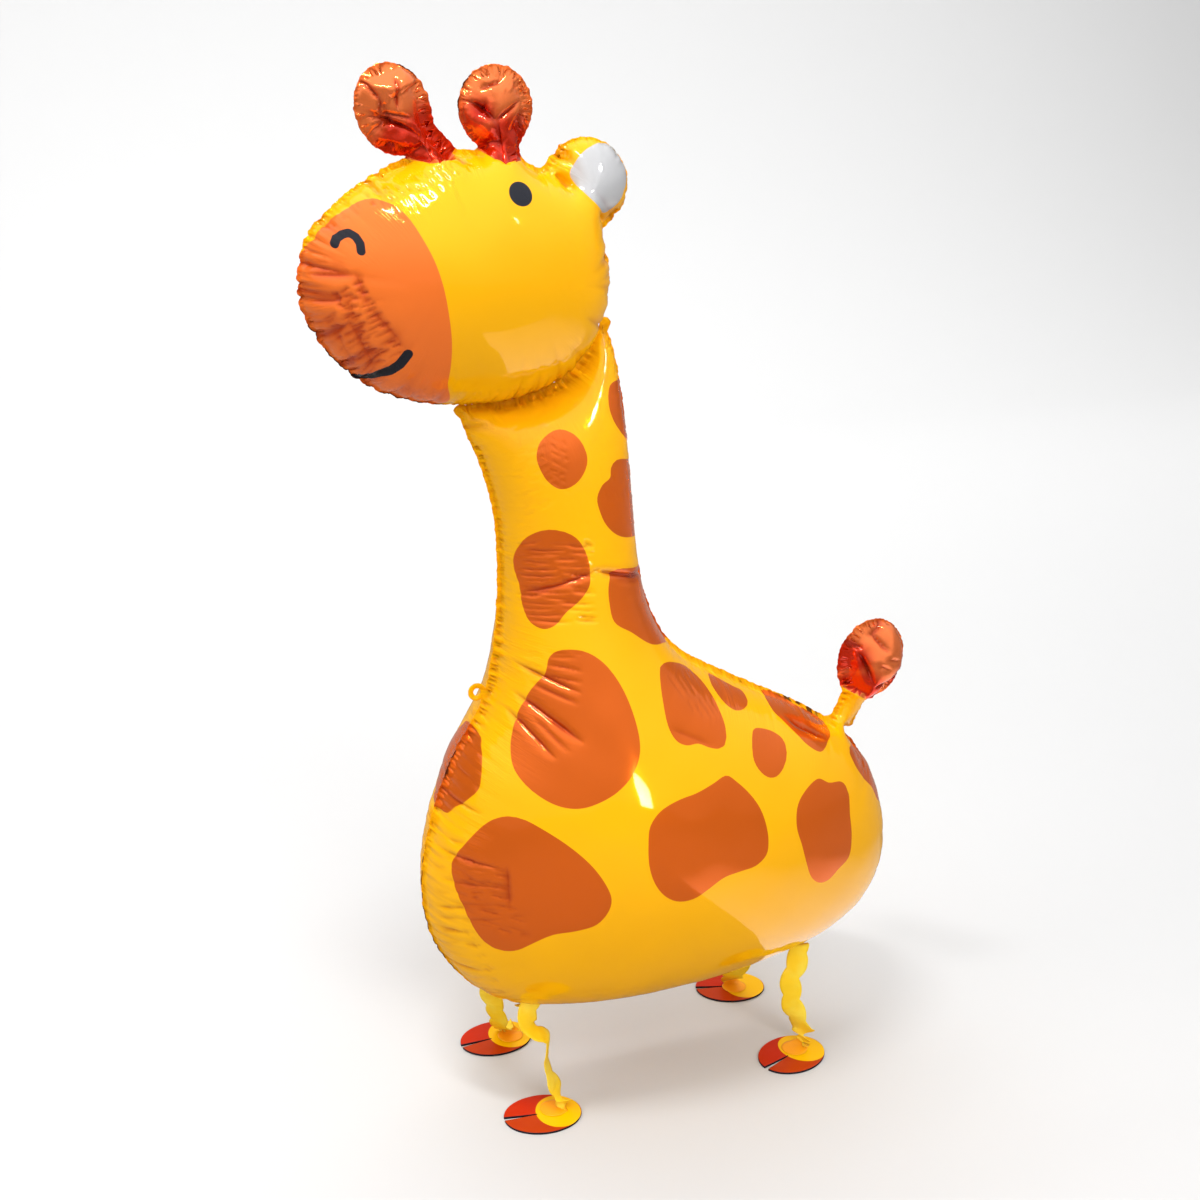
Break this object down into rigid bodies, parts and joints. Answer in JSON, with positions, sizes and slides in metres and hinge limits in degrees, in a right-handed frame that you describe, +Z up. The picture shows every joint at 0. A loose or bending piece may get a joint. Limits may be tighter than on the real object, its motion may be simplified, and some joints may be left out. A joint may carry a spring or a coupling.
{
  "type": "foil balloon animal",
  "caption": "Walking giraffe foil balloon with a swollen body and head, stubby horns, a round ear and tail tuft, on paper strip legs with card hooves.",
  "frame": {"origin": "on the ground, under the middle of the part's bounding box", "axes": "+Z up, -X the way the giraffe faces, -Y towards its left side; the balloons' flat welded rims lie in the plane Y = 0"},
  "size_m": [0.6379, 0.2852, 1.0222],
  "materials": {
    "yellow_foil": "glossy metallised film, printed yellow with orange spots",
    "yellow_paper": "matt coloured paper strip",
    "hoof_card": "printed gloss card"
  },
  "bodies": {
    "root": {"foil_body": "yellow_foil", "foil_head": "yellow_foil", "leg_front_left": "yellow_paper", "leg_front_right": "yellow_paper", "leg_rear_left": "yellow_paper", "leg_rear_right": "yellow_paper", "hoof_front_left": "hoof_card", "hoof_front_right": "hoof_card", "hoof_rear_left": "hoof_card", "hoof_rear_right": "hoof_card"}
  },
  "joints": []
}
